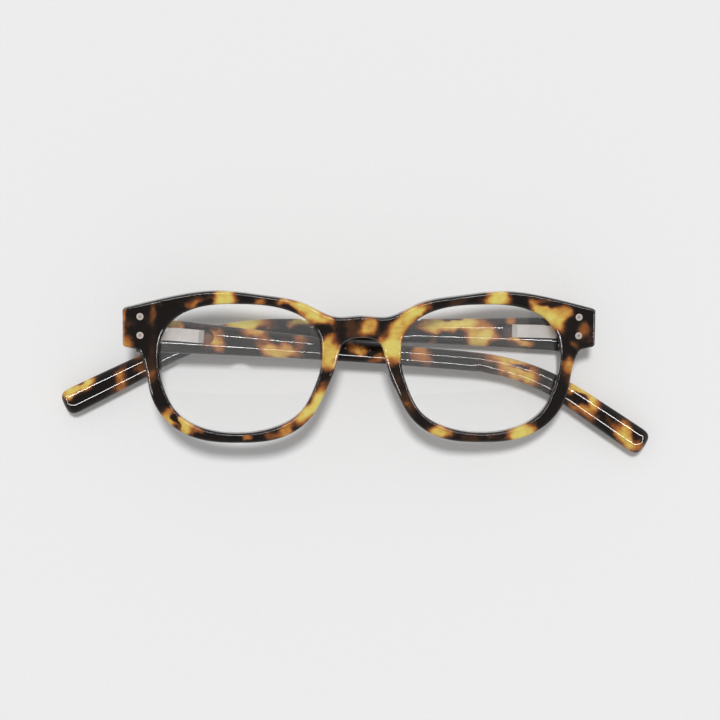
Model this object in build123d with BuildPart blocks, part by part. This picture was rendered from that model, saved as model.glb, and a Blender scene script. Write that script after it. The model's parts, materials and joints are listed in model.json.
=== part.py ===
"""Folding reading glasses with an acetate front, acetate temples and spring hinges.

The glasses lie folded on their back on a table. The table is the plane z = 0, +Z is up, +Y is
towards the brow edge and +X is towards the wearer's left. The left temple lies flat on the
table and the right temple lies across it, so the front leans a little to the left. The origin
is on the flat outer face of the left temple, straight below the middle of the front.
All sizes are in millimetres and degrees.
"""

from build123d import *
import os
from math import asin, cos, degrees, pi, radians, sin, sqrt, tan

os.makedirs("parts", exist_ok=True)

RIGHT = -1
LEFT = 1
SIDES = {"right": RIGHT, "left": LEFT}

# ---- Driving dimensions -------------------------------------------------------------------
front_half_width = 66.9
front_thickness = 4.0
front_wrap_radius = 490.0
rim_edge_round = 0.7

pantoscopic_tilt = 8.0
temple_thickness = 4.0
temple_length = 151.0

# How far each temple is folded from fully open, and how far its fold tips it down the front.
fold_angle = {RIGHT: 90.7, LEFT: 85.8}
fold_slope = {RIGHT: 4.7, LEFT: 1.0}

# How far each hinge axis leans so that the opened tip sits lower: the two ear hooks pass one
# another while both temples open.
hinge_tilt = {RIGHT: 1.5, LEFT: -1.5}

# The left temple lies flat, so the front leans by what that temple's fold falls short of square.
front_lean = 90.0 - fold_angle[LEFT]

# The ear hook: where its bend is centred along the temple, how far it turns, how tightly.
hook_place = {RIGHT: 110.5, LEFT: 101.5}
hook_turn = {RIGHT: 29.3, LEFT: 27.2}
hook_radius = {RIGHT: 62.0, LEFT: 70.0}

# Hinges: the axis sits behind the end piece and just inboard of the temple's inner face.
hinge_x = 61.5
hinge_y = 8.6
end_piece_back = -8.6
hinge_behind_end_piece = 2.4
hinge_z = end_piece_back - hinge_behind_end_piece
temple_outer_face = front_half_width - hinge_x
face_dressing = 0.05  # sanded off each temple's outer face, so that it lies truly flat
knuckle_radius = 1.25
eye_half_height = 0.85
knuckle_gap = 0.05
knuckle_half_stack = 2.2
screw_radius = 0.6
running_clearance = 0.03

plate_thickness = 1.0
rivet_x = 62.0
rivet_heights = (8.5, 13.8)
rivet_radius = 0.75
rivet_head_radius = 1.05

# Spring hinge, measured along the temple from the hinge axis.
housing_start = -1.8
housing_end = 17.6
housing_height = 3.65
housing_top = -1.4
housing_floor = -4.2
housing_wall = 0.45
slider_end = 4.0
stop_start = 5.6
stop_end = 7.0
spring_travel = 1.5
rod_radius = 0.55
rod_end = 15.0
rod_head_radius = 0.92
rod_head_length = 1.0
spring_wire_radius = 0.15
spring_radius = 0.76
spring_turns = 11

# Lenses: centre of each opening, and the two spherical faces of a +1.5 dioptre reading lens.
lens_x = 34.0
lens_y = -0.8
lens_front_radius = 132.0
lens_back_radius = 220.0
lens_thickness = 2.4
bevel_height = 0.5
bevel_width = 0.9
groove_clearance = 0.06

# ---- Places ---------------------------------------------------------------------------------
level = Plane(
    origin=(0, 0, 0),
    x_dir=(cos(radians(front_lean)), 0, -sin(radians(front_lean))),
    z_dir=(sin(radians(front_lean)), 0, cos(radians(front_lean))),
)


def direction(across, up, out):
    """A direction measured in the level plane, which leans with the front but isn't tilted."""
    return level.from_local_coords(Vector(across, up, out))


front_up = direction(0, cos(radians(pantoscopic_tilt)), sin(radians(pantoscopic_tilt)))
front_out = direction(0, -sin(radians(pantoscopic_tilt)), cos(radians(pantoscopic_tilt)))
left_hinge_offset = level.x_dir * hinge_x + front_up * hinge_y + front_out * hinge_z
front_height = temple_outer_face - face_dressing - left_hinge_offset.Z
front_middle_y = -10.5
front_plane = Plane(
    origin=(0, front_middle_y, front_height),
    x_dir=level.x_dir,
    z_dir=front_out,
)
wrap_plane = Plane(origin=front_plane.origin, x_dir=front_plane.x_dir, z_dir=-front_plane.y_dir)


def hinge_point(side):
    """Where the middle of a hinge's axis is."""
    return front_plane.from_local_coords(Vector(side * hinge_x, hinge_y, hinge_z))


def facing(side):
    """+1 where length, height and the temple's inner face are right-handed, else -1."""
    return -side


def temple_direction(side, angle):
    """The direction from the hinge along a temple that is folded by an angle from open."""
    slope = radians(fold_slope[side])
    fold = radians(angle)
    return direction(
        -side * sin(fold) * cos(slope),
        side * sin(fold) * sin(slope),
        -cos(fold),
    )


def temple_up(side):
    """The direction across a folded temple, towards the brow."""
    slope = radians(fold_slope[side])
    return direction(sin(slope), cos(slope), 0)


def hinge_axis(side):
    """The direction of a hinge's axis, towards the brow: the temple's own, leant by its tilt."""
    lean = radians(side * hinge_tilt[side])
    through = temple_direction(side, fold_angle[side]).cross(temple_up(side))
    return temple_up(side) * cos(lean) + through * sin(lean)


def temple_plane(side, inward=0.0):
    """x along the temple, y towards the brow, at a distance from the axis towards the front."""
    plane = Plane(
        origin=hinge_point(side),
        x_dir=temple_direction(side, fold_angle[side]),
        z_dir=temple_direction(side, fold_angle[side]).cross(temple_up(side)),
    )
    return plane.offset(facing(side) * inward)


def temple_profile_plane(side, height=0.0):
    """x along the temple, y towards the front, at a height up the temple from the hinge."""
    return Plane(
        origin=hinge_point(side) + temple_up(side) * height,
        x_dir=temple_direction(side, fold_angle[side]),
        z_dir=temple_up(side) * -facing(side),
    )


def eye_profile_plane(side, height=0.0):
    """x along the temple, y towards the front, at a height along the leaning hinge axis."""
    return Plane(
        origin=hinge_point(side) + hinge_axis(side) * height,
        x_dir=temple_direction(side, fold_angle[side]),
        z_dir=hinge_axis(side) * -facing(side),
    )


def end_piece_profile_plane(side, height=0.0):
    """x towards the bridge, y towards the front, at a height along the hinge axis."""
    return Plane(
        origin=hinge_point(side) + hinge_axis(side) * height,
        x_dir=temple_direction(side, 90.0),
        z_dir=hinge_axis(side) * -facing(side),
    )


# ---- Outlines of the front, each drawn flat so that a sketch on any plane can add it ---------
front_corner_round = 1.0
front_notch_round = 1.5
opening_stations = 28


def both_halves(points):
    """Points from the middle outwards, carried over to the other half as well."""
    return [(-x, y) for x, y in reversed(points[1:])] + points


def front_outline():
    """The whole outside of the front."""
    brow = [
        (0, 14.3),
        (7.2, 14.0),
        (15.8, 17.65),
        (26.5, 19.85),
        (40.7, 21.15),
        (54.2, 19.15),
        (front_half_width, 15.9),
    ]
    rims_and_arch = [
        (0, 8.3),
        (4.9, 6.9),
        (6.9, 1.5),
        (9.6, -6.0),
        (14.7, -15.1),
        (22.6, -20.25),
        (34.0, -21.75),
        (46.6, -20.5),
        (54.4, -16.0),
        (59.0, -8.6),
        (60.6, -0.4),
        (62.6, 4.4),
    ]
    end_piece_low = 5.3
    with BuildSketch(Plane.XY) as outline:
        with BuildLine():
            Spline(*both_halves(brow))
            Spline(*both_halves(rims_and_arch))
            for side in SIDES.values():
                Polyline(
                    (side * brow[-1][0], brow[-1][1]),
                    (side * front_half_width, end_piece_low),
                    (side * rims_and_arch[-1][0], rims_and_arch[-1][1]),
                )
        make_face()
        outer_corners = outline.vertices().filter_by(lambda v: abs(v.X) > front_half_width - 0.1)
        fillet(outer_corners, radius=front_corner_round)
        inner_x = rims_and_arch[-1][0]
        inner_corners = outline.vertices().filter_by(lambda v: abs(abs(v.X) - inner_x) < 0.1)
        fillet(inner_corners, radius=front_notch_round)
    return outline.sketch_local


def lens_opening(side, grow=0.0):
    """The opening of one rim, grown all round by a margin."""
    points = [
        (11.1, 5.0),
        (15.0, 12.85),
        (23.0, 16.6),
        (34.0, 17.65),
        (45.3, 16.65),
        (53.6, 12.0),
        (56.8, 4.6),
        (55.3, -6.8),
        (51.2, -13.9),
        (44.0, -17.9),
        (34.5, -19.1),
        (25.0, -17.6),
        (17.4, -13.3),
        (12.9, -5.2),
    ]
    rim = Edge.make_spline([Vector(x, y) for x, y in points], periodic=True)
    stations = [number / opening_stations for number in range(opening_stations)]
    grown = [rim @ place + (rim % place).rotate(Axis.Z, 90) * grow for place in stations]
    with BuildSketch(Plane.XY) as opening:
        with BuildLine():
            Spline(*[(side * point.X, point.Y) for point in grown], periodic=True)
        make_face()
    return opening.sketch_local


# ---- Lenses and the grooves that hold them --------------------------------------------------
wrap_angle = degrees(asin(lens_x / front_wrap_radius))
wrap_depth = front_wrap_radius * (1 - cos(radians(wrap_angle)))
groove_depth_in_rim = front_thickness / 2
lens_bulge = 1.15
blank_radius = 33.0
blank_half_depth = 20.0
lens_fit_clearance = 0.08


def lens_axis_plane(side):
    """A plane through the optical axis: x across the lens, y along the axis to the front."""
    centre = front_plane.from_local_coords(
        Vector(side * lens_x, lens_y, -wrap_depth - groove_depth_in_rim + lens_bulge)
    )
    across = front_plane.x_dir * cos(radians(wrap_angle)) - front_plane.z_dir * (
        side * sin(radians(wrap_angle))
    )
    return Plane(origin=centre, x_dir=across, z_dir=-front_plane.y_dir)


def sag(radius, distance):
    """How far a sphere falls back at a distance from its axis."""
    return radius - sqrt(radius**2 - distance**2)


def curved_blank(side, grow, front_radius, back_radius, thickness):
    """The rim's opening grown by a margin, between two spherical faces."""
    plane = lens_axis_plane(side)
    top = thickness / 2
    middle = blank_radius / 2
    rim_front = (blank_radius, top - sag(front_radius, blank_radius))
    rim_back = (blank_radius, -top - sag(back_radius, blank_radius))
    with BuildPart() as blank:
        with BuildSketch(front_plane):
            add(lens_opening(side, grow))
        extrude(amount=blank_half_depth, both=True)
        with BuildSketch(plane):
            with BuildLine():
                ThreePointArc((0, top), (middle, top - sag(front_radius, middle)), rim_front)
                Line(rim_front, rim_back)
                ThreePointArc(rim_back, (middle, -top - sag(back_radius, middle)), (0, -top))
                Line((0, -top), (0, top))
            make_face()
        revolve(axis=Axis(plane.origin, plane.y_dir), mode=Mode.INTERSECT)
    return blank.part


for name, side in SIDES.items():
    body = curved_blank(
        side, -lens_fit_clearance, lens_front_radius, lens_back_radius, lens_thickness
    )
    bevel = curved_blank(side, bevel_height, lens_front_radius, lens_front_radius, bevel_width)
    with BuildPart() as lens:
        add(body)
        add(bevel)
    lens.part.label = f"{name}_lens"
    export_step(lens.part, f"parts/{name}_lens.step")

# ---- Front frame ----------------------------------------------------------------------------
end_piece_start = 59.2
plate_width = 4.8
plate_low = 6.2
plate_high = 15.6
plate_corner = 0.8
pad_centre = (10.1, -3.4)
pad_turn = -68.5
pad_half_length = 6.3
pad_half_width = 1.6
pad_root = 2.5
pad_tip = 8.0
pad_rounding = 0.8
pad_steps = 5
band_angle = 19.0
front_blank_half_depth = 14.0
band_half_height = 30.0
end_block_depth = 2.6
end_block_round = 0.5
rivet_hole_length = 8.0
rivet_seat = -4.5
rivet_recess_length = 4.0


def end_piece_outline(side):
    """The part of an end piece that is thickened behind to take the temple."""
    corners = [
        (end_piece_start, 4.5),
        (front_half_width, 5.3),
        (front_half_width, 15.9),
        (end_piece_start, 17.8),
    ]
    with BuildSketch(Plane.XY) as outline:
        with BuildLine():
            Polyline(*[(side * x, y) for x, y in corners], close=True)
        make_face()
        fillet(outline.vertices(), radius=front_corner_round)
    return outline.sketch_local


def end_block(side):
    """The thickening behind one end piece, flat where the open temple meets it."""
    with BuildPart() as block:
        with BuildSketch(front_plane.offset(end_piece_back)):
            add(end_piece_outline(side))
        extrude(amount=end_block_depth)
        back = block.faces().sort_by(Axis(front_plane.origin, front_plane.z_dir))[0]
        fillet(back.edges(), radius=end_block_round)
    return block.part


def plate_outline(side):
    """The hinge plate let into the back of an end piece."""
    with BuildSketch(Plane.XY) as outline:
        with Locations((side * rivet_x, (plate_low + plate_high) / 2)):
            RectangleRounded(plate_width, plate_high - plate_low, plate_corner)
    return outline.sketch_local


def nose_pad(side):
    """A pad standing back from the nasal side of one rim."""
    with BuildPart() as pad:
        for step in range(pad_steps + 1):
            rise = sin(step / pad_steps * pi / 2)
            shrink = pad_rounding * pad_half_width * (1 - cos(step / pad_steps * pi / 2))
            with BuildSketch(front_plane.offset(-pad_root - (pad_tip - pad_root) * rise)):
                with Locations(Location((side * pad_centre[0], pad_centre[1]), side * pad_turn)):
                    Ellipse(pad_half_length - 2 * shrink, pad_half_width - shrink)
        loft()
    return pad.part


with BuildPart() as front_frame:
    with BuildSketch(front_plane):
        add(front_outline())
        add(lens_opening(RIGHT), mode=Mode.SUBTRACT)
        add(lens_opening(LEFT), mode=Mode.SUBTRACT)
    extrude(amount=front_blank_half_depth, both=True)
    with BuildSketch(wrap_plane):
        with BuildLine() as band:
            for radius in (front_wrap_radius, front_wrap_radius - front_thickness):
                CenterArc((0, -front_wrap_radius), radius, 90 - band_angle / 2, band_angle)
            for end in (0, 1):
                Line(*[arc @ end for arc in band.edges()[:2]])
        make_face()
    extrude(amount=band_half_height, both=True, mode=Mode.INTERSECT)
    rim_edges = front_frame.edges().filter_by(lambda e: abs((e % 0.5).dot(front_out)) < 0.9)
    openings = rim_edges.filter_by(lambda e: e.is_closed)
    openings_behind = openings.sort_by(Axis(front_plane.origin, front_plane.z_dir))[:2]
    fillet([edge for edge in rim_edges if edge not in openings_behind], radius=rim_edge_round)
    for side in SIDES.values():
        add(end_block(side))
        add(nose_pad(side))
    for side in SIDES.values():
        add(
            curved_blank(
                side,
                bevel_height + groove_clearance,
                lens_front_radius,
                lens_front_radius,
                bevel_width + 2 * groove_clearance,
            ),
            mode=Mode.SUBTRACT,
        )
        with BuildSketch(front_plane.offset(end_piece_back)):
            add(plate_outline(side))
        extrude(amount=plate_thickness, mode=Mode.SUBTRACT)
        with BuildSketch(front_plane.offset(end_piece_back)):
            with Locations(*[(side * rivet_x, height) for height in rivet_heights]):
                Circle(rivet_radius)
        extrude(amount=rivet_hole_length, mode=Mode.SUBTRACT)
        with BuildSketch(front_plane.offset(rivet_seat)):
            with Locations(*[(side * rivet_x, height) for height in rivet_heights]):
                Circle(rivet_head_radius)
        extrude(amount=rivet_recess_length, mode=Mode.SUBTRACT)
front_frame.part.label = "front_frame"
export_step(front_frame.part, "parts/front_frame.step")

# ---- Rivets and hinge screws ----------------------------------------------------------------
rivet_shank_length = 4.3
rivet_head_length = 0.75
rivet_head_round = 0.25
rivet_head_top = rivet_seat + rivet_head_length

with BuildPart() as front_rivets:
    rivet_places = [(side * rivet_x, height) for side in SIDES.values() for height in rivet_heights]
    with BuildSketch(front_plane.offset(end_piece_back)):
        with Locations(*rivet_places):
            Circle(rivet_radius)
    extrude(amount=rivet_shank_length)
    with BuildSketch(front_plane.offset(rivet_seat)):
        with Locations(*rivet_places):
            Circle(rivet_head_radius)
    extrude(amount=rivet_head_length)
    head_faces = front_rivets.faces().filter_by(GeomType.PLANE)
    head_tops = head_faces.filter_by(
        lambda f: abs(front_plane.to_local_coords(f.center()).Z - rivet_head_top) < 0.01
    )
    fillet(head_tops.edges(), radius=rivet_head_round)
front_rivets.part.label = "front_rivets"
export_step(front_rivets.part, "parts/front_rivets.step")

screw_head_radius = 0.95
screw_head_length = 0.6
screw_slot = 0.3


def hinge_screw(side):
    """A slotted screw along a hinge's axis, its head above the upper knuckle."""
    axis = hinge_axis(side)
    across = temple_direction(side, 90.0)
    foot = Plane(hinge_point(side) - axis * knuckle_half_stack, x_dir=across, z_dir=axis)
    with BuildPart() as screw:
        with BuildSketch(foot):
            Circle(screw_radius)
        extrude(amount=2 * knuckle_half_stack)
        with BuildSketch(foot.offset(2 * knuckle_half_stack)):
            Circle(screw_head_radius)
        extrude(amount=screw_head_length)
        with BuildSketch(foot.offset(2 * knuckle_half_stack + screw_head_length)):
            Rectangle(2 * screw_head_radius, screw_slot)
        extrude(amount=-screw_head_length / 2, mode=Mode.SUBTRACT)
    return screw.part


right_screw = hinge_screw(RIGHT)
left_screw = hinge_screw(LEFT)
with BuildPart() as hinge_screws:
    add(right_screw)
    add(left_screw)
hinge_screws.part.label = "hinge_screws"
export_step(hinge_screws.part, "parts/hinge_screws.step")

# ---- Front half of each hinge: plate, web and two knuckles ----------------------------------
knuckle_start = eye_half_height + knuckle_gap
knuckle_length = knuckle_half_stack - knuckle_start
web_reach = hinge_behind_end_piece + 0.5

for name, side in SIDES.items():
    with BuildPart() as front_hinge:
        with BuildSketch(front_plane.offset(end_piece_back)):
            add(plate_outline(side))
        extrude(amount=plate_thickness)
        for end in (-1, 1):
            low_height = end * knuckle_start
            with BuildSketch(end_piece_profile_plane(side, low_height)):
                Circle(knuckle_radius)
                with Locations((0, web_reach / 2)):
                    Rectangle(2 * knuckle_radius, web_reach)
            extrude(dir=hinge_axis(side) * end, amount=knuckle_length)
        with BuildSketch(front_plane.offset(end_piece_back)):
            with Locations(*[(side * rivet_x, height) for height in rivet_heights]):
                Circle(rivet_radius)
        extrude(amount=plate_thickness, mode=Mode.SUBTRACT)
        with BuildSketch(end_piece_profile_plane(side)):
            Circle(screw_radius)
        extrude(dir=-hinge_axis(side), amount=knuckle_half_stack, mode=Mode.SUBTRACT)
        with BuildSketch(end_piece_profile_plane(side)):
            Circle(screw_radius + running_clearance)
        extrude(dir=hinge_axis(side), amount=knuckle_half_stack, mode=Mode.SUBTRACT)
    front_hinge.part.label = f"{name}_front_hinge"
    export_step(front_hinge.part, f"parts/{name}_front_hinge.step")

# ---- Spring hinge inside each temple --------------------------------------------------------
cavity_height = housing_height - 2 * housing_wall
cavity_floor = housing_floor + housing_wall
cavity_top = housing_top - housing_wall
rod_level = (cavity_floor + cavity_top) / 2
slider_clearance = 0.05
slider_start = -1.5
eye_slot_end = 1.8
eye_slot_half_height = eye_half_height + 0.12
eye_neck_length = 2.0
housing_ramp = 1.5
housing_ramp_depth = 0.5
rod_seat_length = 1.5
rod_seat_clearance = 0.1
spring_start = stop_end + spring_travel + 0.2
spring_end = rod_end - 0.4
spring_pitch = (spring_end - spring_start) / spring_turns


def box_in_temple(side, along, heights, depths):
    """A plain block given by its limits along, up and through a temple."""
    with BuildPart() as block:
        with BuildSketch(temple_plane(side, depths[0])):
            with Locations(((along[0] + along[1]) / 2, (heights[0] + heights[1]) / 2)):
                Rectangle(along[1] - along[0], heights[1] - heights[0])
        extrude(amount=facing(side) * (depths[1] - depths[0]))
    return block.part


def rod_plane(side, along):
    """A plane across the slider rod, its normal pointing along the temple."""
    centre = temple_plane(side, rod_level).from_local_coords(Vector(along, 0, 0))
    along_temple = temple_direction(side, fold_angle[side])
    return Plane(centre, x_dir=temple_up(side), z_dir=along_temple)


for name, side in SIDES.items():
    half_cavity = cavity_height / 2
    cavity = box_in_temple(
        side,
        (housing_start, housing_end - housing_ramp),
        (-half_cavity, half_cavity),
        (cavity_floor, cavity_top),
    )
    eye_slot = box_in_temple(
        side,
        (housing_start, eye_slot_end),
        (-eye_slot_half_height, eye_slot_half_height),
        (cavity_top, housing_top),
    )
    with BuildPart() as housing:
        with BuildSketch(temple_profile_plane(side, -housing_height / 2)):
            with BuildLine():
                Polyline(
                    (housing_start, housing_floor),
                    (housing_end, housing_floor),
                    (housing_end, housing_top - housing_ramp_depth),
                    (housing_end - housing_ramp, housing_top),
                    (housing_start, housing_top),
                    close=True,
                )
            make_face()
        extrude(dir=temple_up(side), amount=housing_height)
        add(cavity, mode=Mode.SUBTRACT)
        add(eye_slot, mode=Mode.SUBTRACT)
    housing.part.label = f"{name}_hinge_housing"
    export_step(housing.part, f"parts/{name}_hinge_housing.step")

    slider_half_height = half_cavity - slider_clearance
    with BuildPart() as slider:
        with BuildSketch(temple_profile_plane(side, -slider_half_height)):
            with Locations(((slider_start + slider_end) / 2, rod_level)):
                Rectangle(
                    slider_end - slider_start, cavity_top - cavity_floor - 2 * slider_clearance
                )
        extrude(dir=temple_up(side), amount=2 * slider_half_height)
        with BuildSketch(eye_profile_plane(side, -eye_half_height)):
            Circle(knuckle_radius)
            with Locations((0, rod_level / 2)):
                Rectangle(eye_neck_length, -rod_level)
        extrude(dir=hinge_axis(side), amount=2 * eye_half_height)
        with BuildSketch(eye_profile_plane(side, -eye_half_height)):
            Circle(screw_radius + running_clearance)
        extrude(dir=hinge_axis(side), amount=2 * eye_half_height, mode=Mode.SUBTRACT)
        with BuildSketch(rod_plane(side, slider_end)):
            Circle(rod_radius)
        extrude(amount=-rod_seat_length - rod_seat_clearance, mode=Mode.SUBTRACT)
    slider.part.label = f"{name}_spring_slider"
    export_step(slider.part, f"parts/{name}_spring_slider.step")

    with BuildPart() as rod:
        with BuildSketch(rod_plane(side, slider_end - rod_seat_length)):
            Circle(rod_radius)
        extrude(amount=rod_end - slider_end + rod_seat_length)
        with BuildSketch(rod_plane(side, rod_end)):
            Circle(rod_head_radius)
        extrude(amount=rod_head_length)
        with BuildSketch(rod_plane(side, rod_end + rod_head_length)):
            Rectangle(2 * rod_head_radius, screw_slot)
        extrude(amount=-rod_head_length / 2, mode=Mode.SUBTRACT)
    rod.part.label = f"{name}_slider_rod"
    export_step(rod.part, f"parts/{name}_slider_rod.step")

    spring_foot = rod_plane(side, spring_start)
    with BuildPart() as spring:
        with BuildLine():
            coil = Helix(
                spring_pitch,
                spring_pitch * spring_turns,
                spring_radius,
                center=spring_foot.origin,
                direction=spring_foot.z_dir,
            )
        with BuildSketch(Plane(coil @ 0, x_dir=spring_foot.z_dir, z_dir=coil % 0)):
            Circle(spring_wire_radius)
        sweep(path=coil, is_frenet=True)
    spring.part.label = f"{name}_hinge_spring"
    export_step(spring.part, f"parts/{name}_hinge_spring.step")

    stop_block = box_in_temple(
        side,
        (stop_start, stop_end),
        (-half_cavity, half_cavity),
        (cavity_floor, cavity_top),
    )
    with BuildPart() as spring_stop:
        add(stop_block)
        with BuildSketch(rod_plane(side, stop_start)):
            Circle(rod_radius + slider_clearance)
        extrude(amount=stop_end - stop_start, mode=Mode.SUBTRACT)
    spring_stop.part.label = f"{name}_spring_stop"
    export_step(spring_stop.part, f"parts/{name}_spring_stop.step")

# ---- Temples --------------------------------------------------------------------------------
butt_clearance = 0.07
centre_drop = 0.6
crown_ratio = 0.3
lower_edge_round = 0.7
upper_edge_round = 0.9
slim_place = 96.0
slim_half_height = 2.72
hinge_end_gain = 2.35
tip_gain = 0.98
pocket_start = housing_start - 2.0
pocket_end = 18.6
pocket_open_height = 5.0
nose_length = 3.6
nose_start = temple_length - nose_length
nose_edge = 0.35

# A cut that squares off the butt end and leaves the rest of the temple inside it.
cut_above = 12.0
cut_below = -60.0
cut_past_tip = 10.0
cut_depth = 8.0


def butt_place(side, height):
    """Where the temple's butt end is, at a height: it meets the tilted end piece when open."""
    tilt = radians(pantoscopic_tilt + hinge_tilt[side])
    gap = hinge_behind_end_piece - butt_clearance
    return -(gap + height * sin(tilt)) / cos(tilt)


def temple_half_height(along):
    """Half the temple's height: deep at the hinge, slim before the hook, wider at the tip."""
    if along < slim_place:
        return slim_half_height + hinge_end_gain * ((slim_place - along) / slim_place) ** 2.1
    swell = sin((along - slim_place) / (temple_length - slim_place) * pi / 2) ** 2
    return slim_half_height + tip_gain * swell


def temple_centre(side, along):
    """Where the temple's centre line is, and which way it heads, at a length along it."""
    turn = radians(hook_turn[side])
    radius = hook_radius[side]
    bend_start = hook_place[side] - radius * tan(turn / 2)
    turned = min(max((along - bend_start) / radius, 0), turn)
    after = max(along - bend_start - radius * turn, 0)
    straight = min(along, bend_start)
    x = straight + radius * sin(turned) + after * cos(turn)
    y = -centre_drop - radius * (1 - cos(turned)) - after * sin(turn)
    return x, y, turned


def temple_section_plane(side, along):
    """x across the temple towards its top, y through it towards the front when folded."""
    x, y, turned = temple_centre(side, along)
    plane = temple_plane(side)
    ahead = plane.x_dir * cos(turned) - plane.y_dir * sin(turned)
    upward = plane.x_dir * sin(turned) + plane.y_dir * cos(turned)
    return Plane(plane.from_local_coords(Vector(x, y, 0)), x_dir=upward, z_dir=ahead * facing(side))


def temple_section(along):
    """The temple's section at a length along it: flat outside, crowned towards the head."""
    nose = max((along - nose_start) / nose_length, 0)
    taper = (1 - nose**3) ** (1 / 3)
    half = temple_half_height(min(along, nose_start)) * taper
    bottom = -temple_outer_face
    top = bottom + temple_thickness * (nose_edge + (1 - nose_edge) * taper)
    shoulder = top - crown_ratio * half
    with BuildSketch(Plane.XY) as section:
        with BuildLine():
            Polyline((half, shoulder), (half, bottom), (-half, bottom), (-half, shoulder))
            ThreePointArc((-half, shoulder), (0, top), (half, shoulder))
        make_face()
        fillet(section.vertices().group_by(Axis.Y)[0], radius=lower_edge_round * taper)
        fillet(section.vertices().group_by(Axis.Y)[-1], radius=upper_edge_round * taper)
    return section.sketch_local


def temple_bar(side, stations):
    """The temple lofted through its sections at the given lengths along it."""
    with BuildPart() as bar:
        for along in stations:
            with BuildSketch(temple_section_plane(side, along)):
                add(temple_section(along))
        loft()
    return bar.part


arm_stations = [-4.0, 8.0, 24.0, 44.0, 66.0, 86.0, 98.0, 110.0, 124.0, 137.0, nose_start]
nose_stations = [nose_start + nose_length * sin(step * 0.36) for step in range(5)]

for name, side in SIDES.items():
    arm = temple_bar(side, arm_stations)
    nose = temple_bar(side, nose_stations)
    with BuildPart() as temple:
        add(arm)
        add(nose)
        with BuildSketch(temple_plane(side, face_dressing - temple_outer_face)):
            with BuildLine():
                Polyline(
                    (butt_place(side, cut_above), cut_above),
                    (butt_place(side, cut_below), cut_below),
                    (temple_length + cut_past_tip, cut_below),
                    (temple_length + cut_past_tip, cut_above),
                    close=True,
                )
            make_face()
        extrude(amount=facing(side) * cut_depth, mode=Mode.INTERSECT)
        with BuildSketch(temple_plane(side, housing_floor)):
            with Locations(((pocket_start + pocket_end) / 2, 0)):
                Rectangle(pocket_end - pocket_start, housing_height)
            with Locations((pocket_end, 0)):
                Circle(housing_height / 2)
        extrude(amount=facing(side) * pocket_open_height, mode=Mode.SUBTRACT)
    temple.part.label = f"{name}_temple"
    export_step(temple.part, f"parts/{name}_temple.step")
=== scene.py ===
import json
from math import atan2, cos, pi, radians, sin, sqrt, tan

import bmesh
import bpy
from mathutils import Matrix, Vector


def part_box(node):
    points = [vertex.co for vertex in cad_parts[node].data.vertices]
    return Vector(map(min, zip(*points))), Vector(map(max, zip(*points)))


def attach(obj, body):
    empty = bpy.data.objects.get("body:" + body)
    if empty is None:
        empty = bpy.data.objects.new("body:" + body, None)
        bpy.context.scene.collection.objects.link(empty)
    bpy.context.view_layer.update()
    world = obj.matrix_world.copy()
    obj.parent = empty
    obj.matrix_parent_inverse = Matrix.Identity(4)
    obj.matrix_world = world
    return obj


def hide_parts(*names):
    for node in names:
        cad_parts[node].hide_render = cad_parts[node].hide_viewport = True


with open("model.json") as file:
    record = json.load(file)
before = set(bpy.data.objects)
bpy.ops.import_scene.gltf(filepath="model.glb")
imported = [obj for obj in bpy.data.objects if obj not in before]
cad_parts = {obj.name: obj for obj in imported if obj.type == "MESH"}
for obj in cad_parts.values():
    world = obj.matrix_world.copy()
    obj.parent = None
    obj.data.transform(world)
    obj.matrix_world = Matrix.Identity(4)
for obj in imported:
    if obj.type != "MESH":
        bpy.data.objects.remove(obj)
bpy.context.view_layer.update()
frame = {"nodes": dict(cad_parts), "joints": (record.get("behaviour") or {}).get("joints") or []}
nodes = frame["nodes"]
front_low, front_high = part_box("front_frame")

# ---------------------------------------------------------------- driving values
MM = 0.001

camera_height = 600 * MM  # above the highest point of the front
camera_lens = 107.6  # focal length in mm
camera_sensor = 36.0  # sensor width in mm
camera_reach = (0.01, 20.0)  # the nearest and farthest distance it sees
camera_shift = (-0.1 * MM, 1.9 * MM)  # where the camera stands from the middle of the front
light_bounces = 12

floor_half = 2.5
floor_divisions = 24
floor_albedo = 0.80
floor_grain = 0.006  # how far the paper's brightness strays either way
# The floor stays this far below the lower tip marker. The lower marker is 0.65 mm up at rest, so
# the floor is then 2.55 mm below the rest plane.
tip_clearance = 3.2 * MM

sky_strength = 0.46  # even light from the pale room
backdrop_strength = 0.82  # how bright the room looks past the edge of the floor
zenith_reflection = 0.20  # what polished faces mirror from straight above
horizon_reflection = 0.75
reflection_fade = (0.15, 0.95)  # upward part of the direction, between which one turns into the other
sun_strength = 1.95
sun_tilt = 15.0  # degrees from straight above, leaning to +Y
sun_softness = 9.0  # degrees across

# Four thin lamps edge a rectangle over the table. Only the acetate mirrors them.
strip_span = (1.64, 0.64)
strip_middle_y = -0.04
strip_height = 0.75
strip_width = 0.022
strip_radiance = {"back": 60.0, "front": 50.0, "side": 70.0}

# One broad soft lamp, mirrored only by the lenses and the metal.
veil_centre = (0.0, 0.1, 1.1)
veil_size = (1.5, 1.2)
veil_radiance = 0.68

# Where the tortoise patches are measured from, in the row frame.
front_datum = (0.0, -10.5 * MM, 0.0)
temple_datum = (0.0, 0.0, 0.0)

acetate_polish = (0.03, 0.055)  # roughness where clean and where worn
milled_polish = (0.45, 0.60)  # a housing's pocket is left as the cutter leaves it
pocket_painted_shade = 0.55  # painted shade: share of the tone that the pocket's faces keep, darkening the recess
acetate_index = 1.49  # refractive indices
resin_index = 1.50

# Noise sizes, in cells per metre before any stretch.
scratch_cells = 900.0
scuff_cells = 60.0
slow_cells, quick_cells = 130.0, 420.0
mottle_cells = 190.0
grain_cells = 500.0
cloud_cells = 230.0
brush_cells = 420.0
tarnish_cells = 300.0
smear_cells = 45.0
paper_cells = 900.0

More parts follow.
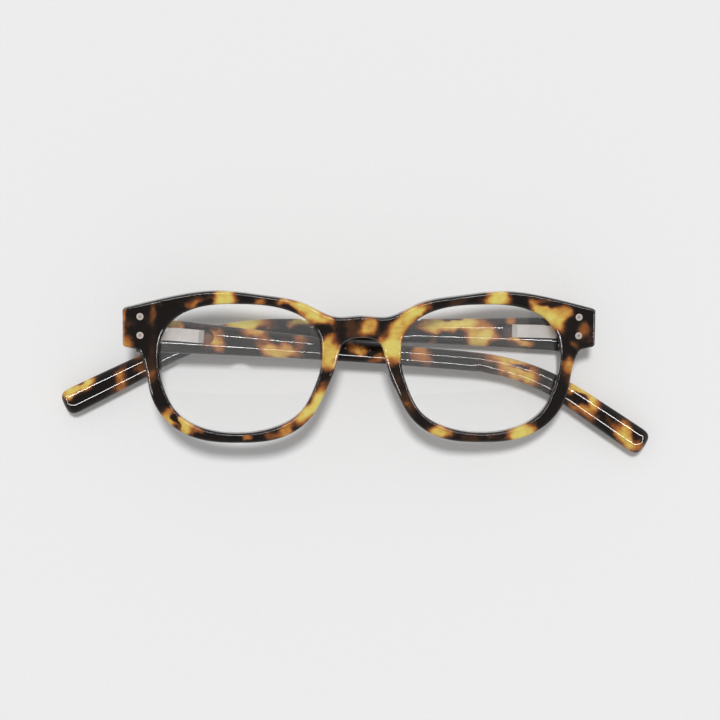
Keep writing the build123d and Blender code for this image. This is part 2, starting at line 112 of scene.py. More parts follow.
edge_softness = 0.80  # share of a patch's radius over which its tone fades in
wobble = 1.6 * MM  # how far a patch's outline wanders, in broad bends
fine_wobble = 0.55 * MM  # and in fine ones
brush_depth = 0.004 * MM
tarnish = 0.86  # how bright the duller clouds in a metal are
turning_rate = 40.0  # radians of ripple from a rivet head's middle to its edge
rivet_head_reach = 1.05 * MM
rivet_head_depth = 0.6 * MM  # how much of a rivet's top counts as its head


# The temples, in mm. Lengths run along a temple from its hinge axis, heights towards the brow, and
# depths through it: 0 at the hinge axis, lower towards the flat outer face.
temple_length = 151.0
outer_depth = -5.35
full_thickness = 3.95
slim_place = 96.0  # where a temple is least high
slim_half_height = 2.72
hinge_end_gain = 2.35  # half height gained from there to the hinge axis
hinge_end_power = 2.1
tip_gain = 0.98  # half height gained from there to the tip
crown_ratio = 0.3  # how far the inner face bulges, as a share of the half height
centre_drop = 0.6
lower_round = 0.7
upper_round = 0.9
nose_length = 3.6  # the rounded end
nose_power = 3
nose_thinning = 0.65  # share of the thickness that the rounded end loses
hook_place = {"right": 110.5, "left": 101.5}
hook_turn = {"right": 29.3, "left": 27.2}
hook_radius = {"right": 62.0, "left": 70.0}
bend_ease = 10.0  # length over which the centre line turns into and out of its bend
ease_samples = 9
# Degrees that each hinge axis is turned about the temple's length.
hinge_tilt = {"right": -1.5, "left": -1.5}
butt_tilt = {"right": 9.5, "left": 6.5}  # degrees that the end face leans off square
butt_gap = 2.33  # from the hinge axis to the end face
pocket_start, pocket_end = -4.0, 18.6
pocket_floor = -4.2
pocket_half_height = 1.825
cutter_headroom = 1.5

# How finely a temple is lofted.
loft_start = -5.0  # before the end face, which is cut afterwards
arm_steps, nose_steps = 170, 16
nose_sweep = 1.45  # radians of the rounded end that are lofted, just short of a quarter turn
flat_steps, flat_share = 4, 4 / 7  # even points, and the share of the half height they cover
foot_steps, shoulder_steps, crown_steps = 6, 9, 16
pocket_steps = 28
crease_angle = 35.0  # degrees above which an edge shows sharp


# ---------------------------------------------------------------- node helpers
class Shader:
    """A material under construction: short calls that add a node and join it up."""

    def __init__(self, name):
        self.material = bpy.data.materials.new(name)
        self.material.use_nodes = True
        self.tree = self.material.node_tree
        self.surface = self.tree.nodes["Principled BSDF"]
        self.output = self.tree.nodes["Material Output"]

    def node(self, kind, settings=None, **inputs):
        made = self.tree.nodes.new(kind)
        for key, value in (settings or {}).items():
            setattr(made, key, value)
        for key, value in inputs.items():
            self.join(value, made.inputs[int(key[1:])] if key[0] == "_" else made.inputs[key])
        return made

    def join(self, value, socket):
        if isinstance(value, bpy.types.NodeSocket):
            self.tree.links.new(value, socket)
        else:
            socket.default_value = value

    def math(self, operation, a, b=0.0):
        return self.node("ShaderNodeMath", {"operation": operation}, _0=a, _1=b).outputs[0]

    def vector_math(self, operation, a, b):
        return self.node("ShaderNodeVectorMath", {"operation": operation}, _0=a, _1=b).outputs[0]

    def place(self):
        """The point's place in the row frame at rest, in metres."""
        return self.node("ShaderNodeTexCoord").outputs["Object"]

    def noise(self, place, scale, detail=2.0, rough=0.5):
        settings = {"Vector": place, "Scale": scale, "Detail": detail, "Roughness": rough}
        return self.node("ShaderNodeTexNoise", None, **settings)

    def stretch(self, place, scale, turn=0.0):
        rotation = (0, 0, radians(turn))
        return self.node("ShaderNodeMapping", None, Vector=place, Rotation=rotation, Scale=scale).outputs[0]

    def spread(self, value, low, high, to_low, to_high, smooth=False):
        settings = {"interpolation_type": "SMOOTHSTEP" if smooth else "LINEAR"}
        made = self.node("ShaderNodeMapRange", settings, _0=value, _1=low, _2=high, _3=to_low, _4=to_high)
        return made.outputs[0]

    def ramp(self, value, stops):
        made = self.node("ShaderNodeValToRGB", None, Fac=value)
        elements = made.color_ramp.elements
        while len(elements) < len(stops):
            elements.new(0.5)
        for element, (position, colour) in zip(elements, stops):
            element.position = position
            element.color = (*colour, 1.0)
        return made.outputs[0]

    def bump(self, height, distance, strength):
        made = self.node("ShaderNodeBump", None, Height=height, Distance=distance, Strength=strength)
        return made.outputs[0]

    def set(self, **inputs):
        for key, value in inputs.items():
            self.join(value, self.surface.inputs[key.replace("_", " ")])


def wear(shader, place):
    """Fine rubbed-in scratches: 0 on clean polish, up to 1 on a scuffed spot."""
    drawn_out = shader.stretch(place, (1.0, 6.0, 1.0), 20.0)
    scratches = shader.noise(drawn_out, scratch_cells, 3.0).outputs[0]
    scuffs = shader.noise(place, scuff_cells, 2.0).outputs[0]
    depth = shader.spread(scratches, 0.52, 0.75, 0.0, 1.0)
    return shader.math("MULTIPLY", depth, shader.spread(scuffs, 0.4, 0.7, 0.1, 1.0))


# ---------------------------------------------------------------- tortoise acetate
TORTOISE = (
    (0.00, (0.0050, 0.0034, 0.0028)),
    (0.16, (0.016, 0.0085, 0.0055)),
    (0.30, (0.062, 0.026, 0.011)),
    (0.44, (0.22, 0.068, 0.018)),
    (0.58, (0.42, 0.165, 0.036)),
    (0.72, (0.56, 0.33, 0.068)),
    (0.84, (0.63, 0.46, 0.105)),
    (0.97, (0.67, 0.56, 0.145)),
)

# Each patch: x, y from the piece's datum in mm, half length, half width in mm, turn in degrees, tone.
# A tone is how light the patch is (1 pale yellow, 0.5 burnt orange); a tone below 0 darkens what is there.
FRONT_PATCHES = (
    (-66.0, 8.7, 4.0, 1.5, 90, 0.62),
    (-66.6, 14.0, 2.5, 0.9, 90, 0.50),
    (-58.7, 14.8, 3.2, 1.3, 80, 0.40),
    (-46.9, 18.6, 3.0, 1.8, 20, 0.52),
    (-38.7, 19.4, 3.3, 3.6, 0, 1.00),
    (-28.2, 18.3, 2.0, 1.0, 0, 0.55),
    (-21.3, 17.5, 2.0, 1.2, -10, 0.62),
    (-15.5, 15.8, 6.0, 2.6, -27, 1.00),
    (-10.6, 12.6, 2.2, 1.6, -45, 0.62),
    (-8.4, 3.8, 3.4, 2.8, 80, 0.95),
    (-13.6, -10.6, 6.2, 2.6, 50, 1.00),
    (-20.9, -17.2, 2.6, 2.0, 30, 0.62),
    (-25.0, -19.0, 2.2, 1.6, 10, 0.40),
    (-31.2, -20.5, 1.3, 0.8, 0, 0.58),
    (-54.3, -14.3, 2.8, 2.2, -45, 0.74),
    (-50.0, -16.4, 2.0, 2.4, 0, 0.86),
    (-46.5, -17.6, 2.6, 0.9, -20, 0.45),
    (-59.3, 1.6, 7.0, 1.6, 88, 0.21),
    (2.2, 11.4, 3.0, 2.8, 0, 0.82),
    (-3.6, 11.4, 2.2, 2.4, 0, 0.28),
    (14.6, 14.8, 4.4, 2.6, 32, 1.00),
    (10.8, 10.6, 3.4, 2.4, 60, 0.80),
    (8.6, 5.8, 3.9, 3.2, 80, 1.00),
    (6.2, 3.4, 2.0, 1.4, 80, 0.55),
    (10.9, -4.8, 4.0, 2.2, -75, 0.20),
    (13.8, -10.7, 3.2, 2.2, -60, 0.24),
    (21.6, -18.0, 3.1, 2.3, -20, 0.88),
    (31.4, -20.2, 3.4, 1.8, 0, 0.24),
    (45.5, -18.4, 3.8, 2.8, 15, 1.00),
    (58.6, 0.2, 3.0, 2.4, 80, 0.60),
    (64.4, 10.4, 2.4, 1.7, -30, 0.46),
    (61.2, 7.6, 1.8, 1.1, 0, 0.40),
    (27.1, 17.8, 2.8, 1.2, 10, 0.24),
    (37.6, 19.3, 3.6, 3.4, 0, 1.00),
    (51.0, 16.8, 4.4, 3.2, -20, 0.92),
    (55.0, 13.6, 3.2, 2.8, -60, 0.90),
    (58.2, 16.0, 2.0, 1.6, -60, 0.60),
    (-44.2, 18.1, 2.4, 1.1, 10, -0.95),
    (-52.0, -15.2, 2.2, 0.5, -75, -0.9),
    (44.6, 18.7, 3.2, 2.6, 0, -1.0),
    (53.0, 18.6, 2.2, 0.9, -10, -0.75),
)

RIGHT_TEMPLE_PATCHES = (
    (-52.9, 1.3, 2.2, 2.0, 0, 0.70),
    (-41.7, -2.8, 3.2, 2.6, 0, 0.76),
    (-31.0, -0.6, 4.0, 2.4, 0, 0.66),
    (-24.5, -5.8, 6.8, 2.4, -4, 0.82),
    (-17.4, -2.2, 1.9, 2.4, 0, 0.40),
    (-1.4, -5.2, 3.2, 1.0, 0, 0.62),
    (5.0, -7.7, 2.0, 1.8, 0, 0.52),
    (17.2, -7.7, 2.6, 2.6, 0, 0.58),
    (43.0, -8.9, 8.2, 2.6, -14, 0.80),
    (44.8, -12.8, 6.0, 2.2, -14, 0.76),
    (62.2, -16.6, 3.6, 2.2, -30, 0.86),
    (66.3, -19.8, 3.2, 2.8, -35, 0.88),
    (63.5, -22.6, 5.0, 1.7, -36, 0.60),
    (76.0, -27.4, 2.0, 2.0, 0, 0.72),
    (76.2, -31.0, 5.4, 1.9, -36, 0.82),
    (83.0, -28.6, 2.6, 1.0, -80, 0.60),
    (45.6, -10.6, 3.0, 0.7, -10, -0.7),
    (62.6, -19.6, 2.8, 1.2, -28, -0.92),
)

LEFT_TEMPLE_PATCHES = (
    (42.2, 2.9, 1.8, 1.8, 0, 0.60),
    (42.8, -1.6, 2.2, 2.8, 0, 0.66),
    (46.2, -3.5, 2.8, 1.1, 0, 0.72),
    (26.5, 1.4, 8.6, 2.6, 0, 1.00),
    (33.3, -2.4, 5.4, 2.6, 10, 0.84),
    (21.4, -3.6, 2.0, 2.4, 0, 0.74),
    (-33.1, 2.0, 6.8, 2.2, 0, 0.96),
    (-16.5, 2.6, 4.2, 1.8, 0, 0.90),
    (-6.0, -1.0, 3.4, 1.4, 0, 0.45),
    (-48.0, -3.0, 4.0, 2.0, 10, 0.55),
    (-80.3, -15.7, 5.2, 1.9, 30, 0.92),
    (-84.6, -18.4, 2.4, 1.2, 62, 0.80),
    (-69.2, -14.9, 3.6, 1.6, 62, 0.50),
    (-64.7, -7.9, 1.8, 1.6, 0, 0.56),
    (-62.6, -11.0, 1.8, 1.8, 0, 0.42),
    (17.0, -2.7, 3.8, 2.7, 0, -1.0),
    (25.8, -3.3, 3.7, 2.8, 0, -1.0),
    (29.5, 4.0, 4.6, 0.9, 0, -0.9),
)


def tortoise(name, datum, patches, polish=acetate_polish, painted_shade_kept=1.0):
    """Block acetate: amber patches in a near-black ground. The placed ones run right through it."""
    s = Shader(name)
    place = s.place()
    from_datum = s.vector_math("SUBTRACT", place, datum)
    slow = s.noise(place, slow_cells, 1.0).outputs["Color"]
    quick = s.noise(place, quick_cells, 2.0).outputs["Color"]
    for colour, reach in ((slow, wobble), (quick, fine_wobble)):
        centred = s.vector_math("SUBTRACT", colour, (0.5, 0.5, 0.5))
        from_datum = s.vector_math("ADD", from_datum, s.vector_math("MULTIPLY", centred, (4 * reach,) * 3))

    mottle = s.noise(place, mottle_cells, 3.0, 0.6).outputs[0]
    tone = s.spread(mottle, 0.50, 0.78, 0.02, 0.34, smooth=True)
    radius = 1.0 / (1.0 - edge_softness / 2)
    for x, y, half_length, half_width, turn, patch_tone in patches:
        ball = s.node(
            "ShaderNodeMapping",
            {"vector_type": "TEXTURE"},
            Vector=from_datum,
            Location=(x * MM, y * MM, 0.0),
            Rotation=(0.0, 0.0, radians(turn)),
            Scale=(half_length * radius * MM, half_width * radius * MM, 1.0),
        ).outputs[0]
        inside = s.node("ShaderNodeTexGradient", {"gradient_type": "SPHERICAL"}, Vector=ball).outputs[1]
        if patch_tone > 0:
            lit = s.spread(inside, 0.0, edge_softness, 0.0, patch_tone, smooth=True)
            tone = s.math("SUBTRACT", s.math("ADD", tone, lit), s.math("MULTIPLY", tone, lit))
        else:
            left_over = s.spread(inside, 0.0, edge_softness, 1.0, 1.0 + patch_tone, smooth=True)
            tone = s.math("MULTIPLY", tone, left_over)

    grain = s.noise(s.stretch(place, (1.0, 2.2, 1.0), 35.0), grain_cells, 4.0, 0.6).outputs[0]
    cloud = s.noise(place, cloud_cells, 2.0, 0.6).outputs[0]
    fine_unevenness = s.spread(grain, 0.3, 0.7, -0.08, 0.05)
    unevenness = s.math("ADD", fine_unevenness, s.spread(cloud, 0.34, 0.66, -0.16, 0.07))
    shade = s.math("ADD", tone, s.math("MULTIPLY", unevenness, tone))
    s.set(
        # A factor below 1 darkens the whole tone: painted shade, used for the housing's pocket.
        Base_Color=s.ramp(s.math("MULTIPLY", shade, painted_shade_kept), TORTOISE),
        Roughness=s.spread(wear(s, place), 0.0, 1.0, *polish),
        IOR=acetate_index,
    )
    return s.material


# ---------------------------------------------------------------- metals and glass
def metal(name, colour, roughness, brush=(1.0, 14.0, 14.0)):
    """Plated metal with fine brush lines along x and duller clouds. Roughness is its least and most."""
    s = Shader(name)
    place = s.place()
    lines = s.noise(s.stretch(place, brush), brush_cells, 4.0, 0.6).outputs[0]
    clouds = s.spread(s.noise(place, tarnish_cells, 2.0).outputs[0], 0.3, 0.7, 0.0, 1.0)
    tint = s.node("ShaderNodeMix", {"data_type": "RGBA"}, Factor=clouds)
    s.join((*[c * tarnish for c in colour], 1.0), tint.inputs[6])
    s.join((*colour, 1.0), tint.inputs[7])
    s.set(
        Base_Color=tint.outputs[2],
        Metallic=1.0,
        Roughness=s.spread(lines, 0.25, 0.75, *roughness),
        Normal=s.bump(lines, brush_depth, 0.5),
    )
    return s.material


def rivet_centres():
    """The middle of each rivet's head, from the lie of its own mesh."""
    points = [vertex.co for vertex in nodes["front_rivets"].data.vertices]
    middle_y = (min(p.y for p in points) + max(p.y for p in points)) / 2
    centres = []
    for side in (-1, 1):
        for above in (-1, 1):
            own = [p for p in points if p.x * side > 0 and (p.y - middle_y) * above > 0]
            top = max(p.z for p in own)
            head = [p for p in own if p.z > top - rivet_head_depth]
            low = Vector([min(p[axis] for p in head) for axis in range(3)])
            high = Vector([max(p[axis] for p in head) for axis in range(3)])
            centres.append((low + high) / 2)
    return centres


def turned_steel_painted_highlight(name):
    """A rivet's head: turned rings round a small centre mark, with a painted highlight as a lighter ring
    near the edge and painted shade at the rim.
    """
    s = Shader(name)
    place = s.place()
    distance = 1.0
    for centre in rivet_centres():
        flat = s.vector_math("MULTIPLY", s.vector_math("SUBTRACT", place, centre), (1.0, 1.0, 0.0))
        reach = s.node("ShaderNodeVectorMath", {"operation": "LENGTH"}, _0=flat).outputs["Value"]
        distance = s.math("MINIMUM", distance, reach)
    ring = s.math("MULTIPLY", distance, 1.0 / rivet_head_reach)
    # Colour outwards from the middle: the dark centre mark, the bare metal, a painted highlight ring, then
    # painted shade at the rim.
    colour = s.ramp(
        ring,
        (
            (0.00, (0.22, 0.18, 0.16)),
            (0.16, (0.28, 0.23, 0.21)),
            (0.28, (0.62, 0.52, 0.47)),
            (0.58, (0.58, 0.49, 0.44)),
            (0.70, (0.80, 0.73, 0.69)),
            (0.84, (0.84, 0.78, 0.75)),
            (0.96, (0.36, 0.31, 0.28)),
        ),
    )
    turning = s.math("SINE", s.math("MULTIPLY", ring, turning_rate))
    scratches = s.noise(place, scratch_cells, 2.0).outputs[0]
    s.set(
        Base_Color=colour,
        Metallic=1.0,
        Roughness=s.spread(scratches, 0.3, 0.7, 0.24, 0.38),
        Normal=s.bump(turning, brush_depth, 0.4),
    )
    return s.material


def clear_lens(name):
    """Clear resin with a frosted ground edge.

    Shadow rays go straight through, so the floor under a lens stays lit, and so do rays on their way
    from a mirroring face to a lamp, so the acetate under a lens still mirrors the strips.
    """
    s = Shader(name)
    smear = s.noise(s.place(), smear_cells, 2.0).outputs[0]
    s.set(
        Base_Color=(0.995, 0.997, 0.995, 1.0),
        Roughness=s.spread(smear, 0.4, 0.8, 0.0, 0.015),
        IOR=resin_index,
        Transmission_Weight=1.0,
    )
    normal = s.node("ShaderNodeTexCoord").outputs["Normal"]
    upright = s.math("ABSOLUTE", s.node("ShaderNodeSeparateXYZ", None, _0=normal).outputs[2])
    ground = s.spread(upright, 0.72, 0.90, 1.0, 0.0, smooth=True)
    frost = s.node("ShaderNodeBsdfDiffuse", None, Color=(0.74, 0.66, 0.63, 1.0), Roughness=0.5)
    solid = s.node("ShaderNodeMixShader", None, _0=ground, _1=s.surface.outputs[0], _2=frost.outputs[0])
    path = s.node("ShaderNodeLightPath")
    unseen = s.math("MAXIMUM", path.outputs["Is Shadow Ray"], path.outputs["Is Reflection Ray"])
    clear = s.node("ShaderNodeBsdfTransparent", None, Color=(1.0, 1.0, 1.0, 1.0))
    mixed = s.node("ShaderNodeMixShader", None, _0=unseen, _1=solid.outputs[0], _2=clear.outputs[0])
    s.tree.links.new(mixed.outputs[0], s.output.inputs[0])
    return s.material


def dress(material, *names):
    """Puts a material on every face of the named CAD nodes."""
    for name in names:
        mesh = nodes[name].data
        mesh.materials.clear()
        mesh.materials.append(material)


# ---------------------------------------------------------------- temples, lofted afresh with even quads
def temple_frame(side):
    """The matrix that takes a temple's own (along, up, through) in mm to the row frame at rest."""
    joints = {joint["name"]: joint for joint in frame["joints"]}
    hinge = joints[f"{side}_temple_hinge"]
    along = Vector(joints[f"{side}_spring_slide"]["axis"]).normalized()
    axis = Vector(hinge["axis"]).normalized()
    if axis.y < 0:
        axis.negate()
    up = Matrix.Rotation(radians(hinge_tilt[side]), 3, along).inverted() @ axis
    through = along.cross(up)
    if through.z < 0:
        through.negate()
    turned = Matrix((along, up, through)).transposed().to_4x4()
    return Matrix.Translation(Vector(hinge["pos_m"])) @ turned @ Matrix.Scale(MM, 4)


def temple_half_height(along):
    """Half a temple's height at one place along it."""
    if along < slim_place:
        return slim_half_height + hinge_end_gain * ((slim_place - along) / slim_place) ** hinge_end_power
    towards_tip = (along - slim_place) / (temple_length - slim_place)
    return slim_half_height + tip_gain * sin(towards_tip * pi / 2) ** 2


def arc_centre(side, along):
    """The place (along, up) and turn of a centre line that bends in one plain arc."""
    turn = radians(hook_turn[side])
    radius = hook_radius[side]
    bend_start = hook_place[side] - radius * tan(turn / 2)
    turned = min(max((along - bend_start) / radius, 0), turn)
    after = max(along - bend_start - radius * turn, 0)
    x = min(along, bend_start) + radius * sin(turned) + after * cos(turn)
    y = -centre_drop - radius * (1 - cos(turned)) - after * sin(turn)
    return x, y, turned


def temple_centre(side, along):
    """The centre line's place and turn, eased into and out of the bend so that no line on it kinks."""
    near = [
        arc_centre(side, along + bend_ease * (k / (ease_samples - 1) - 0.5)) for k in range(ease_samples)
    ]
    return [sum(values) / len(near) for values in zip(*near)]


def arc(centre, radius, start, end, steps):
    """Points along an arc, both ends included."""
    angles = [start + (end - start) * k / steps for k in range(steps + 1)]
    return [(centre[0] + radius * cos(angle), centre[1] + radius * sin(angle)) for angle in angles]


def temple_section(along):
    """Half a section, as (height, depth) from the middle of the flat face round to the crown."""
    nose = max((along - temple_length + nose_length) / nose_length, 0)
    taper = (1 - nose**nose_power) ** (1 / nose_power)
    half = temple_half_height(min(along, temple_length - nose_length)) * taper
    top = outer_depth + full_thickness * (1 - nose_thinning * (1 - taper))
    sag = crown_ratio * half
    big = (half**2 + sag**2) / (2 * sag)
    low, high = lower_round * taper, upper_round * taper
    meet_angle = atan2(sqrt((big - high) ** 2 - (half - high) ** 2), half - high)
    meet_depth = top - big + (big - high) * sin(meet_angle)
    flat = [(half * flat_share * k / flat_steps, outer_depth) for k in range(flat_steps + 1)]
    foot = arc((half - low, outer_depth + low), low, -pi / 2, 0, foot_steps)
    shoulder = arc((half - high, meet_depth), high, 0, meet_angle, shoulder_steps)
    crown = arc((0, top - big), big, meet_angle, pi / 2, crown_steps)
    return flat + foot + shoulder + crown[1:]


def pocket_cutter(place):
    """The slot that the spring hinge's housing is sunk into, with its round end."""
    outline = [(pocket_start, -pocket_half_height)]
    outline += arc((pocket_end, 0.0), pocket_half_height, -pi / 2, pi / 2, pocket_steps)
    outline.append((pocket_start, pocket_half_height))
    mesh = bmesh.new()
    rings = [
        [mesh.verts.new(place @ Vector((x, y, depth))) for x, y in outline]
        for depth in (pocket_floor, outer_depth + full_thickness + cutter_headroom)
    ]
    mesh.faces.new(rings[0])
    mesh.faces.new(list(reversed(rings[1])))
    for k in range(len(outline)):
        after = (k + 1) % len(outline)
        mesh.faces.new((rings[0][k], rings[1][k], rings[1][after], rings[0][after]))
    return finished(mesh, "pocket_cutter")


def finished(mesh, name):
    """Turns the faces outwards and makes an object of the mesh."""
    bmesh.ops.recalc_face_normals(mesh, faces=mesh.faces)
    data = bpy.data.meshes.new(name)
    mesh.to_mesh(data)
    mesh.free()
    made = bpy.data.objects.new(name, data)
    bpy.context.scene.collection.objects.link(made)
    return made


def carve(piece, cutter):
    """Cuts one object's shape out of another for good. The cut faces take the cutter's material."""
    cut = piece.modifiers.new("cut", "BOOLEAN")
    cut.operation = "DIFFERENCE"
    cut.solver = "EXACT"
    cut.material_mode = "TRANSFER"
    cut.object = cutter
    bpy.context.view_layer.update()
    result = bpy.data.meshes.new_from_object(piece.evaluated_get(bpy.context.evaluated_depsgraph_get()))
    piece.modifiers.remove(cut)
    piece.data = result
    bpy.data.objects.remove(cutter)


def temple_stations():
    """Where the rings stand along a temple: evenly on the arm, and closing up round its far end."""
    nose_start = temple_length - nose_length
    arm = [loft_start + (nose_start - loft_start) * k / arm_steps for k in range(arm_steps)]
    turns = [k / nose_steps * nose_sweep for k in range(nose_steps + 1)]
    return arm + [nose_start + nose_length * sin(turn) for turn in turns]


def temple_ring(mesh, side, place, along):
    """The vertices of one whole section, square to the centre line."""
    x, y, turned = temple_centre(side, along)
    half = temple_section(along)
    whole = half + [(-height, depth) for height, depth in reversed(half[1:-1])]
    ring = []
    for height, depth in whole:
        local = Vector((x + height * sin(turned), y + height * cos(turned), depth))
        ring.append(mesh.verts.new(place @ local))
    return ring


def loft(mesh, rings):
    """Joins each ring to the next and closes both ends."""
    count = len(rings[0])
    for before, behind in zip(rings, rings[1:]):
        for k in range(count):
            after = (k + 1) % count
            mesh.faces.new((before[k], before[after], behind[after], behind[k]))
    mesh.faces.new(rings[0])
    mesh.faces.new(rings[-1])


def trim_end(mesh, side, place):
    """Cuts the arm off at the end face that meets the front, and closes the cut."""
    tilt = radians(butt_tilt[side])
    normal = place.to_3x3() @ Vector((cos(tilt), sin(tilt), 0.0))
    start = place @ Vector((-butt_gap * cos(tilt), -butt_gap * sin(tilt), 0.0))
    everything = mesh.verts[:] + mesh.edges[:] + mesh.faces[:]
    cut = bmesh.ops.bisect_plane(
        mesh, geom=everything, plane_co=start, plane_no=normal.normalized(), clear_inner=True
    )
    open_edges = [part for part in cut["geom_cut"] if isinstance(part, bmesh.types.BMEdge)]
    bmesh.ops.holes_fill(mesh, edges=open_edges)


def make_temple(side, polished, milled_and_shaded):
    """One temple's acetate, carved for its hinge housing and shown in place of the CAD one."""
    place = temple_frame(side)
    mesh = bmesh.new()
    loft(mesh, [temple_ring(mesh, side, place, along) for along in temple_stations()])
    trim_end(mesh, side, place)
    piece = finished(mesh, f"{side}_temple_acetate")
    piece.data.materials.append(polished)
    cutter = pocket_cutter(place)
    cutter.data.materials.append(milled_and_shaded)
    carve(piece, cutter)
    piece.data.shade_smooth()
    piece.data.set_sharp_from_angle(angle=radians(crease_angle))
    weighted = piece.modifiers.new("even_shading", "WEIGHTED_NORMAL")
    weighted.keep_sharp = True
    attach(piece, f"{side}_temple")
    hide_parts(f"{side}_temple")
    return piece


dress(tortoise("tortoise_front", front_datum, FRONT_PATCHES), "front_frame")
temples = []
for side, patches in (("right", RIGHT_TEMPLE_PATCHES), ("left", LEFT_TEMPLE_PATCHES)):
    polished = tortoise(f"tortoise_{side}_temple", temple_datum, patches)
    # The pocket's faces are left rough, and darkened as painted shade in the recess.
    milled_and_shaded = tortoise(f"milled_{side}_pocket", temple_datum, patches, milled_polish, pocket_painted_shade)
    temples.append(make_temple(side, polished, milled_and_shaded))

dress(clear_lens("clear_resin"), "right_lens", "left_lens")
dress(turned_steel_painted_highlight("rivet_steel"), "front_rivets")
hinge_silver = metal("nickel_silver", (0.74, 0.69, 0.66), (0.26, 0.42))
dress(hinge_silver, "right_front_hinge", "left_front_hinge", "right_hinge_housing", "left_hinge_housing")
slider_silver = metal("burnished_silver", (0.72, 0.71, 0.69), (0.16, 0.30))
dress(slider_silver, "right_spring_slider", "left_spring_slider")
bright_steel = metal("bright_steel", (0.66, 0.67, 0.69), (0.14, 0.26), brush=(1.0, 4.0, 4.0))
dress(bright_steel, "hinge_screws", "right_slider_rod", "left_slider_rod")
spring_wire = metal("spring_wire", (0.50, 0.50, 0.52), (0.20, 0.36), brush=(1.0, 2.0, 2.0))
dress(spring_wire, "right_hinge_spring", "left_hinge_spring")
stop_brass = metal("stop_brass", (0.80, 0.60, 0.30), (0.22, 0.36))
dress(stop_brass, "right_spring_stop", "left_spring_stop")


# ---------------------------------------------------------------- floor, following the temples
def tip_marker(name, temple, sign):
    """An empty at a folded temple's far end, towards +X or -X by the sign, that moves with it."""
    far = max((vertex.co for vertex in nodes[temple].data.vertices), key=lambda co: sign * co.x)
    marker = bpy.data.objects.new(name, None)
    bpy.context.scene.collection.objects.link(marker)
    marker.location = far
    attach(marker, temple)
    return marker


def make_floor():
    """A plain pale sheet with a faint grain."""
    bpy.ops.mesh.primitive_grid_add(
        x_subdivisions=floor_divisions, y_subdivisions=floor_divisions, size=2 * floor_half
    )
    floor = bpy.context.object
    floor.name = "floor"
    s = Shader("floor_paper")
    paper = s.noise(s.place(), paper_cells, 3.0).outputs[0]
    shade = s.spread(paper, 0.3, 0.7, floor_albedo - floor_grain, floor_albedo + floor_grain)
    colour = s.node("ShaderNodeCombineColor", None, _0=shade, _1=shade, _2=shade).outputs[0]
    s.set(Base_Color=colour, Roughness=0.9, Specular_IOR_Level=0.1)
    floor.data.materials.append(s.material)
    return floor


def floor_follows(floor, markers):
    """Keeps the floor tip_clearance below the lower marker, and never above the rest plane."""
    driver = floor.driver_add("location", 2).driver
    driver.type = "SCRIPTED"
    names = []
    for index, marker in enumerate(markers):
        variable = driver.variables.new()
        variable.name = f"tip{index}"
        variable.type = "TRANSFORMS"
        variable.targets[0].id = marker
        variable.targets[0].transform_type = "LOC_Z"
        variable.targets[0].transform_space = "WORLD_SPACE"
        names.append(f"tip{index} - {tip_clearance}")
    driver.expression = f"min(0, {', '.join(names)})"


floor = make_floor()
markers = (
    tip_marker("right_tip_marker", "right_temple", 1),
    tip_marker("left_tip_marker", "left_temple", -1),
)
floor_follows(floor, markers)


# ---------------------------------------------------------------- light
def make_world():
    """An even pale room. Polished faces mirror it dim overhead and brighter near the horizon."""
    world = bpy.data.worlds.new("studio")
    bpy.context.scene.world = world
    world.use_nodes = True
    tree = world.node_tree
    background = tree.nodes["Background"]
    place = tree.nodes.new("ShaderNodeTexCoord")
    split = tree.nodes.new("ShaderNodeSeparateXYZ")
    fade = tree.nodes.new("ShaderNodeMapRange")
    path = tree.nodes.new("ShaderNodeLightPath")
    pick = tree.nodes.new("ShaderNodeMix")
    tree.links.new(place.outputs["Generated"], split.inputs[0])
    tree.links.new(split.outputs[2], fade.inputs[0])
    fade.interpolation_type = "SMOOTHSTEP"
    for index, value in enumerate((*reflection_fade, horizon_reflection, zenith_reflection), 1):
        fade.inputs[index].default_value = value
    tree.links.new(path.outputs["Is Glossy Ray"], pick.inputs[0])
    pick.inputs[2].default_value = sky_strength
    tree.links.new(fade.outputs[0], pick.inputs[3])
    seen = tree.nodes.new("ShaderNodeMix")
    tree.links.new(path.outputs["Is Camera Ray"], seen.inputs[0])
    tree.links.new(pick.outputs[0], seen.inputs[2])
    seen.inputs[3].default_value = backdrop_strength
    background.inputs[0].default_value = (1.0, 1.0, 1.0, 1.0)
    tree.links.new(seen.outputs[0], background.inputs[1])


def lit_group(name, members):
    """The pieces that one kind of lamp reaches."""
    group = bpy.data.collections.new(name)
    for member in members:
        group.objects.link(member)
    return group


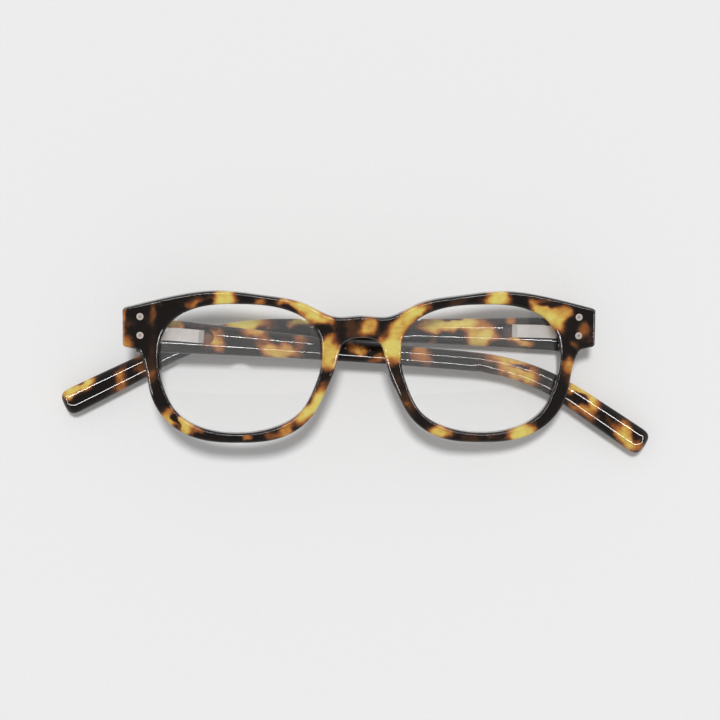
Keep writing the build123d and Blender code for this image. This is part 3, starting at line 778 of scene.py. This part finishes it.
def reflection_lamp(name, centre, length, width, along, radiance, group):
    """A lamp over the table that is only seen mirrored, in the pieces of one group."""
    data = bpy.data.lights.new(name, "AREA")
    data.shape = "RECTANGLE"
    data.size = length
    data.size_y = width
    data.energy = radiance * pi * length * width
    lamp = bpy.data.objects.new(name, data)
    bpy.context.scene.collection.objects.link(lamp)
    direction = Vector((cos(radians(along)), sin(radians(along)), 0.0))
    across = Vector(centre).cross(direction).normalized()
    lamp.matrix_world = Matrix.Translation(centre) @ Matrix(
        (direction, across, direction.cross(across))
    ).transposed().to_4x4()
    lamp.visible_camera = False
    lamp.visible_diffuse = False
    lamp.visible_transmission = False
    lamp.light_linking.receiver_collection = group


def make_sun():
    """One soft lamp from nearly straight above, which nothing mirrors."""
    data = bpy.data.lights.new("softbox", "SUN")
    data.energy = sun_strength
    data.angle = radians(sun_softness)
    lamp = bpy.data.objects.new("softbox", data)
    bpy.context.scene.collection.objects.link(lamp)
    lamp.rotation_euler = (radians(-sun_tilt), 0.0, 0.0)
    lamp.visible_glossy = False


def make_strips(group):
    """The four thin lamps whose reflections draw the acetate's edges."""
    width, depth = strip_span
    for name, x, y, length, along, radiance in (
        ("strip_back", 0.0, depth / 2, width, 0, strip_radiance["back"]),
        ("strip_front", 0.0, -depth / 2, width, 0, strip_radiance["front"]),
        ("strip_right", width / 2, 0.0, depth, 90, strip_radiance["side"]),
        ("strip_left", -width / 2, 0.0, depth, 90, strip_radiance["side"]),
    ):
        centre = (x, strip_middle_y + y, strip_height)
        reflection_lamp(name, centre, length, strip_width, along, radiance, group)


make_world()
make_sun()
acetate_nodes = ("front_frame", "right_temple", "left_temple")
make_strips(lit_group("acetate", (nodes["front_frame"], *temples)))
others = [node for name, node in nodes.items() if name not in acetate_nodes]
reflection_lamp("veil", veil_centre, *veil_size, 0, veil_radiance, lit_group("clear_and_metal", others))


# ---------------------------------------------------------------- camera and picture
def make_camera():
    """A camera that looks straight down at the front."""
    data = bpy.data.cameras.new("camera")
    data.lens = camera_lens
    data.sensor_width = camera_sensor
    data.clip_start, data.clip_end = camera_reach
    camera = bpy.data.objects.new("camera", data)
    bpy.context.scene.collection.objects.link(camera)
    middle = (front_low + front_high) / 2
    camera.location = (
        middle.x + camera_shift[0],
        middle.y + camera_shift[1],
        front_high.z + camera_height,
    )
    bpy.context.scene.camera = camera


make_camera()
bpy.context.scene.view_settings.view_transform = "Standard"
bpy.context.scene.view_settings.look = "None"
bpy.context.scene.cycles.max_bounces = light_bounces
bpy.context.scene.cycles.transparent_max_bounces = light_bounces

bpy.context.view_layer.update()
